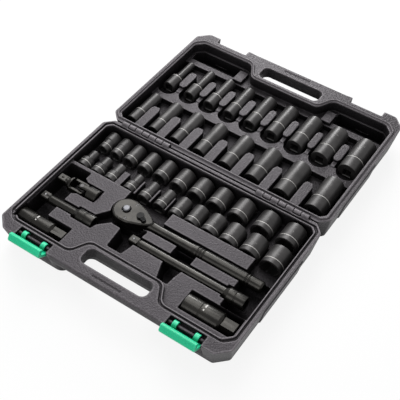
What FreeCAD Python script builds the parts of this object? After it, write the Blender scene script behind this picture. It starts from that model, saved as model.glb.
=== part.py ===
import FreeCAD
import Part
import math
import os

# Socket wrench set in a moulded carrying case, lying open and flat.
# Millimetres. X runs along the hinge, Y from the front of the base to the far edge
# of the lid, Z up. The rims of both halves share one level plane.

# Case
case_width = 304.0
half_depth = 206.0            # hinge line to front edge, one half
half_height = 40.0            # floor to rim plane, one half
side_draft = 7.0              # how far a side wall leans in between rim and floor
front_draft = 10.0
back_draft = 4.0
foot_bevel = 4.0              # bevel round the underside
corner_cut = 13.5             # chamfered outer corners at the handle side
back_corner_cut = 11.0        # and at the hinge side
rim_gap = 0.4                 # between the closed rims
back_gap = 0.8                # hinge line to each back wall
cavity_half_width = 144.0
cavity_back = 9.0
cavity_front = 186.0
cavity_corner = 10.0
cavity_back_corner = 6.0
groove_near = 1.5             # seal groove, measured out from the cavity edge
groove_far = 4.0
groove_deep = 2.6
tongue_near = 2.25
tongue_far = 3.55
tongue_high = 2.0

# Handle and the bay behind it
handle_half = 74.0
handle_thick = 15.5
grip_radius = 9.0
slot_half = 43.0
slot_near = 171.5
slot_far = 192.5
slot_corner = 7.0
bay_front = 171.5             # outer wall of the deep body behind the slot
bay_cavity = 163.5
bay_outer_x = 66.0            # S-bend from the front wall to the bay
bay_inner_x = 53.0
bay_round = 11.0
mark_half = 19.0              # shallow finger line on the handle bar
mark_wide = 2.2
mark_deep = 1.0
mark_from_front = 6.0

# Side wall pads
pad_proud = 1.2
pad_near = 48.0
pad_far = 128.0
pad_top = 30.0

# Hinge
knuckle_radius = 3.0
knuckle_clear = 3.5
knuckle_web = 3.6             # how far a knuckle's root reaches into the back wall
knuckle_start = 61.0
knuckle_length = 9.4
knuckle_gap = 0.5
knuckle_count = 7
pin_radius = 1.2
pin_hold_radius = 1.25        # in the knuckles of the base, which grip the pin
pin_free_radius = 1.55        # in the knuckles of the lid, which turn on it

# Latches
latch_centre = 100.0
latch_width = 43.2
latch_side_gap = 0.6
latch_bar_v = 197.5
latch_bar_drop = 5.0          # bar axis below the rim plane
latch_bar_radius = 2.5
latch_eye_radius = 5.0
latch_eye_bore = 2.9
latch_eye_width = 6.0
latch_eye_offset = 13.3
latch_pocket_back = 192.2
latch_pocket_deep = 16.0
latch_plate_in = 200.5
latch_plate_out = 204.0
latch_hook_in = 194.0
latch_hook_low = 9.8          # underside of the hook above the rim plane, closed
latch_hook_high = 14.4
latch_open_angle = 55.0       # from closed to the way it stands open
catch_front = 197.0
catch_lip = 9.4 - rim_gap     # thickness of the lid lip that the hook goes over
catch_undercut = 191.0
catch_room = 7.0

# Trays
axis_drop = 15.0              # axis of each socket below the rim plane
bar_drop = 9.0                # axis of the ratchet, the bars and the universal joint
seat_gap = 0.5
base_deck = 5.0               # depth of each deck below the rim plane
row_deck = 20.0
lid_deck = 22.0
lid_step = 14.0
deep_well = 27.0
well_draft = 2.5              # how far a well's walls lean in towards its floor
corner_well = 33.0

# Sockets, three-eighths-inch square drive
drive_square = 9.6
drive_stub = 9.45
drive_end_diameter = 17.2
shallow_length = 27.0
deep_length = 54.0
ring_from_end = 6.5           # turned ring, from the end that faces the front
deep_ring_from_end = 18.0
ring_wide = 1.3
ring_deep = 0.45
inch = 25.4

first_row_sizes = [9, 10, 11, 12, 13, 14, 15, 16, 17, 18, 19]
first_row_x = [-131.5, -113, -93.5, -71.5, -48.5, -23.5, 2, 29, 58.5, 91, 123.5]
first_row_front = 39.5
second_row_sizes = [6, 7, 8]
second_row_x = [-134.5, -114.5, -94.5]
second_row_front = 76.0
inch_names = ["1_4", "5_16", "3_8", "7_16", "1_2", "9_16", "5_8", "11_16", "3_4"]
inch_sizes = [inch / 4, inch * 5 / 16, inch * 3 / 8, inch * 7 / 16, inch / 2,
              inch * 9 / 16, inch * 5 / 8, inch * 11 / 16, inch * 3 / 4]
inch_row_x = [-67, -45, -23, -1.5, 20.5, 44, 69, 96.5, 126]
deep_inch_x = [-133, -101, -71, -41, -10, 21.5, 55, 90, 127.5]
deep_inch_near = 99.0
deep_metric_sizes = [10, 12, 13, 14, 15, 17, 18, 19]
deep_metric_x = [-133.5, -101, -68.5, -34, 3.5, 42, 81, 124.5]
deep_metric_near = 21.0

# Long tools, all lying along X in the base
ratchet_x = -45.0
ratchet_v = 105.5
head_radius = 16.2
head_length = 37.0            # middle of the head to the tip of its top face
head_top_drop = 1.5
head_thick = 15.0
ratchet_end = 135.0
gear_teeth = 36
gear_tip = 10.5
gear_root = 9.7
lever_reach = 19.5
extension_v = 132.8
long_extension = (-19.5, 130.5)
short_extension_v = 139.0
short_extension = (-140.0, -65.0)
universal_v = 107.3
universal_x = -107.0
universal_socket_reach = 23.0
universal_drive_reach = 33.5
plug_socket_left = (-143.0, 172.0, 16.0, 21.5)     # x of the round end, v, hexagon, diameter
plug_socket_right = (77.0, 165.2, 20.8, 26.0)
plug_socket_length = 63.0
plug_hex_length = 17.0

axis_z = half_height - axis_drop
long_axis_z = half_height - bar_drop
hinge_z = half_height + rim_gap / 2
floor_margin = 1.0            # how far a cutting tool runs past a face
origin = FreeCAD.Vector(0, 0, 0)
along_x = FreeCAD.Vector(1, 0, 0)
along_y = FreeCAD.Vector(0, 1, 0)
along_z = FreeCAD.Vector(0, 0, 1)


def point(x, y, z=0.0):
    return FreeCAD.Vector(x, y, z)


def rounded_wire(corners, radii, z=0.0):
    """Closed level outline through the corners, each rounded by its radius."""
    count = len(corners)
    edges = []
    starts = []
    ends = []
    mids = []
    for i in range(count):
        corner = point(*corners[i], z)
        back = (point(*corners[i - 1], z) - corner).normalize()
        ahead = (point(*corners[(i + 1) % count], z) - corner).normalize()
        half = back.getAngle(ahead) / 2
        reach = radii[i] / math.tan(half)
        middle = (back + ahead).normalize()
        starts.append(corner + back * reach)
        ends.append(corner + ahead * reach)
        mids.append(corner + middle * (radii[i] / math.sin(half) - radii[i]))
    for i in range(count):
        edges.append(Part.Arc(starts[i], mids[i], ends[i]).toShape())
        edges.append(Part.LineSegment(ends[i], starts[(i + 1) % count]).toShape())
    return Part.Wire(edges)


def mirrored(right_side):
    """Outline corners for both sides from those of the right side."""
    return right_side + [(-x, y) for x, y in reversed(right_side)]


def both(radii):
    return radii + radii[::-1]


def prism(wire, height):
    return Part.Face(wire).extrude(along_z * height)


def slab(x0, x1, y0, y1, z0, z1):
    return Part.makeBox(x1 - x0, y1 - y0, z1 - z0, point(x0, y0, z0))


def flat_prism(corners, z0, z1, radius=1.0):
    return prism(rounded_wire(corners, [radius] * len(corners), z0), z1 - z0)


def inset(corners, distance):
    """Outline corners moved inwards, whichever way round they run."""
    count = len(corners)
    area = sum(corners[i - 1][0] * corners[i][1] - corners[i][0] * corners[i - 1][1]
               for i in range(count))
    moved = []
    for i in range(count):
        here = point(*corners[i])
        first = (here - point(*corners[i - 1])).normalize()
        second = (point(*corners[(i + 1) % count]) - here).normalize()
        normals = [math.copysign(1, area) * point(-d.y, d.x) for d in (first, second)]
        step = (normals[0] + normals[1]) * (distance / (1 + normals[0].dot(normals[1])))
        moved.append((here.x + step.x, here.y + step.y))
    return moved


def drafted_well(corners, depth):
    """Well from the rim plane down, its walls leaning in towards the floor."""
    radii = [2.0] * len(corners)
    floor = rounded_wire(inset(corners, well_draft), radii, half_height - depth)
    mouth = rounded_wire(corners, radii, half_height + floor_margin)
    return Part.makeLoft([floor, mouth], True, True)


def rod(radius, length, start, direction):
    return Part.makeCylinder(radius, length, start, direction)


def turned(profile, start, direction):
    """Solid of revolution from (distance along, radius) pairs."""
    points = [point(0, 0)]
    points += [point(r, s) for s, r in profile]
    points += [point(0, profile[-1][0]), point(0, 0)]
    points = [p for i, p in enumerate(points) if i == 0 or p.distanceToPoint(points[i - 1]) > 1e-6]
    solid = Part.Face(Part.makePolygon(points)).revolve(origin, along_y, 360)
    solid.Placement = FreeCAD.Placement(start, FreeCAD.Rotation(along_y, direction))
    return solid


def hexagon_prism(across_flats, length, start, direction):
    """Hexagonal prism with one flat facing up."""
    radius = across_flats / math.sqrt(3)
    ring = [point(radius * math.cos(math.radians(60 * i)), 0, radius * math.sin(math.radians(60 * i)))
            for i in range(7)]
    solid = Part.Face(Part.makePolygon(ring)).extrude(along_y * length)
    solid.Placement = FreeCAD.Placement(start, FreeCAD.Rotation(along_y, direction))
    return solid


def square_prism(side, length, start, direction, corner=0.0):
    """Square bar centred on its axis, its corners bevelled by the given amount."""
    h = side / 2
    k = h - corner
    ring = [(h, -k), (h, k), (k, h), (-k, h), (-h, k), (-h, -k), (-k, -h), (k, -h)]
    if corner == 0.0:
        ring = [(h, -h), (h, h), (-h, h), (-h, -h)]
    points = [point(x, 0, z) for x, z in ring]
    solid = Part.Face(Part.makePolygon(points + points[:1])).extrude(along_y * length)
    solid.Placement = FreeCAD.Placement(start, FreeCAD.Rotation(along_y, direction))
    return solid


# Case halves are drawn with the hinge at v = 0 and v growing away from it.
# The lid lies that way round in Y, the base is its mirror image.

def outer_outline(side_inset, front_inset, back_inset, z):
    half = case_width / 2 - side_inset
    front = half_depth - front_inset
    back = back_gap + back_inset
    right = [(half - back_corner_cut, back), (half, back + back_corner_cut),
             (half, front - corner_cut), (half - corner_cut, front),
             (bay_outer_x, front), (bay_inner_x, bay_front - front_inset)]
    return rounded_wire(mirrored(right), both([5, 5, 5, 5, bay_round, bay_round]), z)


def cavity_outline(grow, z):
    half = cavity_half_width + grow
    front = cavity_front + grow
    back = cavity_back - grow
    cut = cavity_corner
    near = cavity_back_corner
    right = [(half - near, back), (half, back + near), (half, front - cut), (half - cut, front),
             (bay_outer_x - 5, front), (bay_inner_x - 4, bay_cavity + grow)]
    return rounded_wire(mirrored(right), both([4, 4, 7, 7, bay_round, bay_round]), z)


def deep_body():
    """Drafted tub with a bevelled foot and a bay behind the handle."""
    lower = 1 - foot_bevel / half_height
    rim = outer_outline(0, 0, 0, half_height)
    knee = outer_outline(side_draft * lower, front_draft * lower, back_draft * lower, foot_bevel)
    foot = outer_outline(side_draft + foot_bevel, front_draft + foot_bevel, back_draft + foot_bevel, 0)
    return Part.makeLoft([foot, knee, rim], True, True)


def handle_block():
    """Half of the grip: flat on the rim plane, rounded underneath in front."""
    low = half_height - handle_thick
    root = bay_cavity - 4
    bend = half_depth - grip_radius * (1 - math.sqrt(0.5))
    fall = low + grip_radius * (1 - math.sqrt(0.5))
    edge = 1.2
    edges = [
        Part.LineSegment(point(0, root, half_height), point(0, half_depth - edge, half_height)),
        Part.LineSegment(point(0, half_depth - edge, half_height),
                         point(0, half_depth, half_height - edge)),
        Part.LineSegment(point(0, half_depth, half_height - edge),
                         point(0, half_depth, low + grip_radius)),
        Part.Arc(point(0, half_depth, low + grip_radius), point(0, bend, fall),
                 point(0, half_depth - grip_radius, low)),
        Part.LineSegment(point(0, half_depth - grip_radius, low), point(0, root, low)),
        Part.LineSegment(point(0, root, low), point(0, root, half_height)),
    ]
    profile = Part.Face(Part.Wire([e.toShape() for e in edges]))
    block = profile.extrude(along_x * (2 * handle_half))
    block.translate(point(-handle_half, 0, 0))
    return block


def side_pads():
    """Raised panels on the outer side walls, following their draft."""
    pads = []
    for side in (-1, 1):
        foot_x = case_width / 2 - side_draft * (1 - foot_bevel / half_height)
        top_x = case_width / 2 - side_draft * (1 - pad_top / half_height)
        root = foot_x - 6
        ring = [(root, foot_bevel), (foot_x + pad_proud, foot_bevel), (top_x + pad_proud, pad_top - 1.5),
                (top_x - 0.5, pad_top), (root, pad_top)]
        points = [point(side * x, pad_near, z) for x, z in ring]
        panel = Part.Face(Part.makePolygon(points + points[:1]))
        pads.append(panel.extrude(along_y * (pad_far - pad_near)))
    return pads


def handle_openings():
    """Hand slot and the shallow line pressed into the bar."""
    corners = [(-slot_half, slot_near), (slot_half, slot_near),
               (slot_half, slot_far), (-slot_half, slot_far)]
    slot = flat_prism(corners, -floor_margin, half_height + floor_margin, slot_corner)
    v = half_depth - mark_from_front
    line = [(-mark_half, v - mark_wide / 2), (mark_half, v - mark_wide / 2),
            (mark_half, v + mark_wide / 2), (-mark_half, v + mark_wide / 2)]
    mark = flat_prism(line, half_height - mark_deep, half_height + floor_margin, mark_wide * 0.45)
    return [slot, mark]


def latch_span(side):
    half = latch_width / 2 + latch_side_gap
    return side * latch_centre - half, side * latch_centre + half


def knuckle_spans(owner):
    """X ranges of one half's hinge knuckles; the two halves alternate."""
    spans = []
    step = knuckle_length + knuckle_gap
    for side in (-1, 1):
        for i in range(owner, knuckle_count, 2):
            start = knuckle_start + i * step
            ends = sorted((side * start, side * (start + knuckle_length)))
            spans.append(tuple(ends))
    return spans


def hinge_knuckles(owner):
    """Knuckles round the hinge axis, each on a web that runs into the back wall."""
    parts = []
    for x0, x1 in knuckle_spans(owner):
        barrel = rod(knuckle_radius, x1 - x0, point(x0, 0, hinge_z), along_x)
        web = slab(x0, x1, 0, knuckle_web, hinge_z - knuckle_radius, half_height)
        parts.append(barrel.fuse(web))
    return parts


def pin_holes(owner, bore):
    return [rod(bore, x1 - x0 + 2, point(x0 - 1, 0, hinge_z), along_x) for x0, x1 in knuckle_spans(owner)]


def hinge_clearance(owner):
    """Room for the other half's knuckles to turn in."""
    return [rod(knuckle_clear, x1 - x0 + 2 * knuckle_gap, point(x0 - knuckle_gap, 0, hinge_z), along_x)
            for x0, x1 in knuckle_spans(1 - owner)]


def plain_half():
    """What both halves share: tub, handle, pads and hand slot."""
    body = deep_body().fuse([handle_block()] + side_pads())
    return body.cut(handle_openings())


def cavity_prism(depth):
    return prism(cavity_outline(0, half_height - depth), depth + floor_margin)


def trough(x0, x1, v, radius, level):
    """Round-bottomed channel along X, open upwards."""
    bottom = rod(radius, x1 - x0, point(x0, v, level), along_x)
    return bottom.fuse(slab(x0, x1, v - radius, v + radius, level, half_height + floor_margin))


def outer_diameter(size, deep):
    return 1.25 * size + 2.2 if deep else 1.2 * size + 4.4


def socket_profile(size, deep, drive_in_front):
    """(distance from the drive end, radius) of a socket's outside."""
    length = deep_length if deep else shallow_length
    nose = outer_diameter(size, deep) / 2
    drive = max(drive_end_diameter / 2, nose)
    step = length * (0.36 if deep else 0.46)
    bevel = 0.8
    near = deep_ring_from_end if deep else ring_from_end
    ringed = drive
    shoulder = [(step, drive), (step + (drive - nose) * 1.2, nose)]
    if drive - nose < 0.2:
        nose = drive
        shoulder = []
    if not drive_in_front:
        near = length - ring_from_end - ring_wide
        ringed = nose
    ring = [(near, ringed), (near, ringed - ring_deep),
            (near + ring_wide, ringed - ring_deep), (near + ring_wide, ringed)]
    middle = ring + shoulder if drive_in_front else shoulder + ring
    return [(0, drive - bevel), (bevel, drive)] + middle + [(length - bevel, nose), (length, nose - bevel)]


def seat_solid(size, deep, x, y_drive, direction):
    """Hollow in a tray for one socket, a little larger all round."""
    length = deep_length if deep else shallow_length
    nose = outer_diameter(size, deep) / 2 + seat_gap
    drive = max(drive_end_diameter / 2 + seat_gap, nose)
    step = length * (0.36 if deep else 0.46) + 1.2 * (drive - nose) + 1.0
    end = length + seat_gap
    profile = [(-seat_gap, drive), (step, drive), (step, nose), (end, nose)]
    profile = [(s + seat_gap, r) for s, r in profile]
    start = point(x, y_drive, axis_z) - direction * seat_gap
    if drive - nose < 0.01:
        return rod(drive, length + 2 * seat_gap, start, direction)
    return turned(profile, start, direction)


def socket_solid(size, deep, x, y_drive, direction):
    """Socket with a square drive hole, a hexagon at the other end and a bore between."""
    length = deep_length if deep else shallow_length
    drive_deep = 11.0
    hex_deep = length - 20.0 if deep else 12.0
    bore = min(size * 0.43, drive_square * 0.46)
    start = point(x, y_drive, axis_z)
    body = turned(socket_profile(size, deep, direction.y > 0), start, direction)
    drive = square_prism(drive_square, drive_deep + 1, start - direction, direction)
    far = start + direction * (length - hex_deep)
    hexagon = hexagon_prism(size + 0.15, hex_deep + 1, far, direction)
    through = rod(bore, length, start, direction)
    return body.cut([drive, hexagon, through])


def row_of_sockets():
    """Every socket as (node name, size, deep, x, y of the drive end, direction, in the lid)."""
    rows = []
    for size, x in zip(first_row_sizes, first_row_x):
        y = -first_row_front + shallow_length
        rows.append((f"socket_{size}mm", size, False, x, y, -along_y, False))
    for size, x in zip(second_row_sizes, second_row_x):
        rows.append((f"socket_{size}mm", size, False, x, -second_row_front, along_y, False))
    for name, size, x in zip(inch_names, inch_sizes, inch_row_x):
        small = outer_diameter(size, False) < drive_end_diameter
        y = -second_row_front if small else -second_row_front + shallow_length
        rows.append((f"socket_{name}in", size, False, x, y, along_y if small else -along_y, False))
    for name, size, x in zip(inch_names, inch_sizes, deep_inch_x):
        rows.append((f"deep_socket_{name}in", size, True, x, deep_inch_near, along_y, True))
    for size, x in zip(deep_metric_sizes, deep_metric_x):
        rows.append((f"deep_socket_{size}mm", size, True, x, deep_metric_near, along_y, True))
    return rows


def pad_between(x0, x1, v0, v1, top_drop, floor_drop, tip):
    """Raised island in a tray, drawn in at its two ends."""
    corners = [(x0 + tip, v0), (x1 - tip, v0), (x1, v0 + 2 * tip), (x1, v1 - 2 * tip),
               (x1 - tip, v1), (x0 + tip, v1), (x0, v1 - 2 * tip), (x0, v0 + 2 * tip)]
    return flat_prism(corners, half_height - floor_drop - 1, half_height - top_drop, 0.8)


def gaps(xs, sizes, deep):
    """Free space between neighbours of one row."""
    radii = [max(drive_end_diameter, outer_diameter(s, deep)) / 2 for s in sizes]
    return [(xs[i] + radii[i], xs[i + 1] - radii[i + 1]) for i in range(len(xs) - 1)]


def base_tray(body, sockets):
    """Cuts the base's decks, wells and tool seats, as seen with v growing from the hinge."""
    top = half_height + floor_margin
    rows_end = second_row_front + 3
    full = cavity_prism(deep_well)
    row_room = full.common(slab(-case_width, case_width, 0, rows_end, half_height - row_deck, top))
    body = body.cut([cavity_prism(base_deck), row_room])

    pads = []
    margin = 1.2
    for x0, x1 in gaps(second_row_x + inch_row_x, second_row_sizes + inch_sizes, False):
        if x1 - x0 > 4:
            pads.append(slab(x0 + margin, x1 - margin, 56, rows_end + 0.5, half_height - row_deck - 1,
                             half_height - 8))
    body = body.fuse(pads)

    left_well = [(-143.5, 83), (-112.5, 83), (-112.5, 163), (-143.5, 163)]
    head_well = [(-50, 129.7), (-36, 129.7), (-33.5, 157.5), (-13.5, 157.5), (-10.5, 144),
                 (-7, 115), (-46, 118)]
    finger_well = [(29, 112), (56, 112), (56, 129), (51.5, 150), (50.5, 162), (36, 162), (29, 142)]
    right_well = [(109, 96), (143.5, 96), (143.5, 152), (109, 152)]
    cuts = [drafted_well(left_well, deep_well), drafted_well(head_well, deep_well),
            drafted_well(finger_well, deep_well - 2), drafted_well(right_well, deep_well - 2)]
    cuts.append(slab(-58, 0, rows_end - 1, 98, half_height - row_deck, top))
    cuts.append(slab(109, 143, rows_end - 1, 97, half_height - row_deck, top))
    channel = [(-70, 129.4), (-58, 112), (-45, 124), (-50, 129.7), (-61, 140.8), (-63, 147.5),
               (-70, 147.5)]
    cuts.append(flat_prism(channel, half_height - row_deck + 2, top))

    head_low = half_height - head_top_drop - head_thick - 1.5
    cuts.append(rod(head_radius + 1.6, top - head_low, point(ratchet_x, ratchet_v, head_low), along_z))
    cuts.append(rod(9.0, 14, point(ratchet_x, ratchet_v, head_low - 11.5), along_z))
    neck = [(ratchet_x, ratchet_v - 17), (-6, ratchet_v - 8.6),
            (-6, ratchet_v + 8.6), (ratchet_x, ratchet_v + 17)]
    cuts.append(flat_prism(neck, head_low, top))
    cuts.append(trough(-12, ratchet_end + 3, ratchet_v, 8.6, long_axis_z))

    for (x0, x1), v in ((long_extension, extension_v), (short_extension, short_extension_v)):
        cuts.append(trough(x0 - 2, x1 - 24, v, 6.6, long_axis_z))
        cuts.append(trough(x1 - 27, x1 + 2, v, 9.2, long_axis_z))
    room = 10.1
    socket_end = universal_x + universal_socket_reach
    cuts.append(trough(universal_x - 7, socket_end + 1, universal_v, room, long_axis_z))
    flare = [(universal_x, universal_v - room), (universal_x, universal_v + room),
             (universal_x - 7, universal_v + room + 4), (universal_x - 7, universal_v - room - 4)]
    cuts.append(flat_prism(flare, long_axis_z - room, top, 0.5))
    for x, v, _, diameter in (plug_socket_left, plug_socket_right):
        cuts.append(trough(x - 1, x + plug_socket_length + 1.5, v, diameter / 2 + 0.6, axis_z))

    for _, size, deep, x, y, direction, in_lid in sockets:
        if not in_lid:
            cuts.append(seat_solid(size, deep, x, -y, point(0, -direction.y, 0)))
    return body.cut(cuts)


def lid_tray(body, sockets):
    """Cuts the lid's deck, ridge, pads, corner wells and deep-socket seats."""
    top = half_height + floor_margin
    low = half_height - lid_deck
    ridge_start = deep_metric_near + deep_length + 2
    ridge_end = deep_inch_near - 1
    upper_end = deep_inch_near + deep_length + 1.5
    full = cavity_prism(lid_deck)
    rooms = [full.common(slab(-case_width, case_width, 0, ridge_start, low, top)),
             full.common(slab(-case_width, case_width, ridge_end, upper_end, low, top))]
    scallops = [rod(13.5, lid_deck + 1, point(x, ridge_end + 2, low), along_z) for x in deep_inch_x]
    scallops = [s.common(full) for s in scallops]
    body = body.cut([cavity_prism(lid_step)] + rooms + scallops)

    pads = []
    for x0, x1 in gaps(deep_inch_x, inch_sizes, True):
        middle = (x0 + x1) / 2
        half = min(5.5, (x1 - x0) / 2 - 1.2)
        pads.append(pad_between(middle - half, middle + half, 105, 136, 9, lid_deck, 2.2))
        tab = half * 0.55
        pads.append(slab(middle - tab, middle + tab, ridge_end - 1, 106, low - 1, half_height - 13))
    for x0, x1 in gaps(deep_metric_x, deep_metric_sizes, True):
        middle = (x0 + x1) / 2
        root = (x1 - x0) / 2 - 1.2
        tip = root - 2.8
        tongue = [(middle - root, cavity_back - 1), (middle + root, cavity_back - 1), (middle + tip, 51),
                  (middle + tip - 2, 54), (middle - tip + 2, 54), (middle - tip, 51)]
        pads.append(flat_prism(tongue, low - 1, half_height - 6, 0.6))
    body = body.fuse(pads)

    cuts = []
    for side in (-1, 1):
        corners = [(side * 72, 164), (side * 141, 164), (side * 141, 178),
                   (side * 134, 184.5), (side * 72, 184.5)]
        cuts.append(flat_prism(corners, half_height - corner_well, top, 2.0))
    for _, size, deep, x, y, direction, in_lid in sockets:
        if in_lid:
            cuts.append(seat_solid(size, deep, x, y, direction))
    return body.cut(cuts)


def make_base(sockets):
    body = base_tray(plain_half(), sockets)
    top = half_height + floor_margin
    bar_z = half_height - latch_bar_drop
    groove = prism(cavity_outline(groove_far, half_height - groove_deep), groove_deep + 1)
    groove = groove.cut(prism(cavity_outline(groove_near, half_height - groove_deep), groove_deep + 1))
    cuts = [groove] + hinge_clearance(0)
    bars = []
    for side in (-1, 1):
        x0, x1 = latch_span(side)
        cuts.append(slab(x0, x1, latch_pocket_back, half_depth + 1, half_height - latch_pocket_deep, top))
        cuts.append(slab(x0, x1, latch_bar_v + 1.5, half_depth + 1, -1, top))
        bars.append(rod(latch_bar_radius, x1 - x0 + 2, point(x0 - 1, latch_bar_v, bar_z), along_x))
    body = body.cut(cuts)
    body = body.fuse(bars + hinge_knuckles(0))
    return body.cut(pin_holes(0, pin_hold_radius)).removeSplitter().mirror(origin, along_y)


def make_lid(sockets):
    body = lid_tray(plain_half(), sockets)
    top = half_height + floor_margin
    lip_low = half_height - catch_lip
    tongue = prism(cavity_outline(tongue_far, half_height - 1), tongue_high + 1)
    tongue = tongue.cut(prism(cavity_outline(tongue_near, half_height - 2), tongue_high + 4))
    body = body.fuse(tongue)
    cuts = hinge_clearance(1)
    for side in (-1, 1):
        x0, x1 = latch_span(side)
        cuts.append(slab(x0, x1, catch_front, half_depth + 1, -1, top + 2))
        cuts.append(slab(x0, x1, catch_undercut, half_depth + 1, lip_low - catch_room, lip_low))
    body = body.cut(cuts)
    body = body.fuse(hinge_knuckles(1))
    return body.cut(pin_holes(1, pin_free_radius)).removeSplitter()


def make_hinge_pins():
    length = knuckle_count * knuckle_length + (knuckle_count - 1) * knuckle_gap - 1
    pins = []
    for side in (-1, 1):
        start = knuckle_start + 0.5 if side > 0 else -knuckle_start - 0.5 - length
        pins.append(rod(pin_radius, length, point(start, 0, hinge_z), along_x))
    return Part.makeCompound(pins)


def make_latch(side):
    """Latch in its closed shape, then swung open about the bar of the base."""
    half = latch_width / 2
    rim = half_height
    bar_z = rim - latch_bar_drop
    crown = 2.0
    ring = [(latch_plate_in, bar_z), (latch_plate_out - 1, bar_z), (latch_plate_out, bar_z + 2),
            (latch_plate_out, rim + latch_hook_high - crown),
            (latch_plate_out - crown, rim + latch_hook_high),
            (latch_hook_in + 1, rim + latch_hook_high), (latch_hook_in, rim + latch_hook_high - 1.5),
            (latch_hook_in, rim + latch_hook_low), (latch_plate_in, rim + latch_hook_low)]
    points = [point(-half, -v, z) for v, z in ring]
    latch = Part.Face(Part.makePolygon(points + points[:1])).extrude(along_x * latch_width)
    upright = [e for e in latch.Edges
               if abs(e.BoundBox.XLength) < 1e-6 and e.BoundBox.YMin < -latch_plate_out + 0.01]
    latch = latch.makeFillet(0.6, upright)
    for eye in (-1, 1):
        x = eye * latch_eye_offset - latch_eye_width / 2
        ring = rod(latch_eye_radius, latch_eye_width, point(x, -latch_bar_v, bar_z), along_x)
        arm = slab(x, x + latch_eye_width, -latch_plate_in - 1, -latch_bar_v, bar_z,
                   bar_z + latch_eye_radius)
        bore = rod(latch_eye_bore, latch_eye_width + 2, point(x - 1, -latch_bar_v, bar_z), along_x)
        mouth = slab(x - 1, x + latch_eye_width + 1, -latch_bar_v - 2.0, -latch_bar_v + 2.0,
                     bar_z - 8, bar_z)
        latch = latch.fuse(ring.fuse(arm)).cut([bore, mouth])
    latch.translate(point(side * latch_centre, 0, 0))
    latch.rotate(point(0, -latch_bar_v, bar_z), along_x, latch_open_angle)
    return latch


def spin_ring(teeth, tip, root):
    """Points of a toothed disc's outline."""
    pitch = 2 * math.pi / teeth
    ring = []
    for i in range(teeth):
        for share, radius in ((0.0, root), (0.5, tip)):
            turn = (i + share) * pitch
            ring.append(point(radius * math.cos(turn), radius * math.sin(turn)))
    return ring + ring[:1]


def head_outline(edge, z):
    """Egg-shaped outline of the ratchet head at a level, drawn in by an edge width."""
    radius = head_radius - edge
    stretch = (head_length - edge) / head_length
    flank = [(0, 1.0), (15, 0.85), (26, 0.57), (34, 0.26), (head_length, 0), (34, -0.26), (26, -0.57),
             (15, -0.85), (0, -1.0)]
    centre = point(ratchet_x, -ratchet_v, z)
    spots = [centre + point(x * stretch, share * radius) for x, share in flank]
    nose = Part.BSplineCurve()
    nose.interpolate(Points=spots, InitialTangent=along_x, FinalTangent=-along_x)
    round_end = Part.Arc(spots[-1], centre - along_x * radius, spots[0])
    return Part.Wire([nose.toShape(), round_end.toShape()])


def head_plate(edge, z0, z1):
    return Part.Face(head_outline(edge, z0)).extrude(along_z * (z1 - z0))


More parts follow.
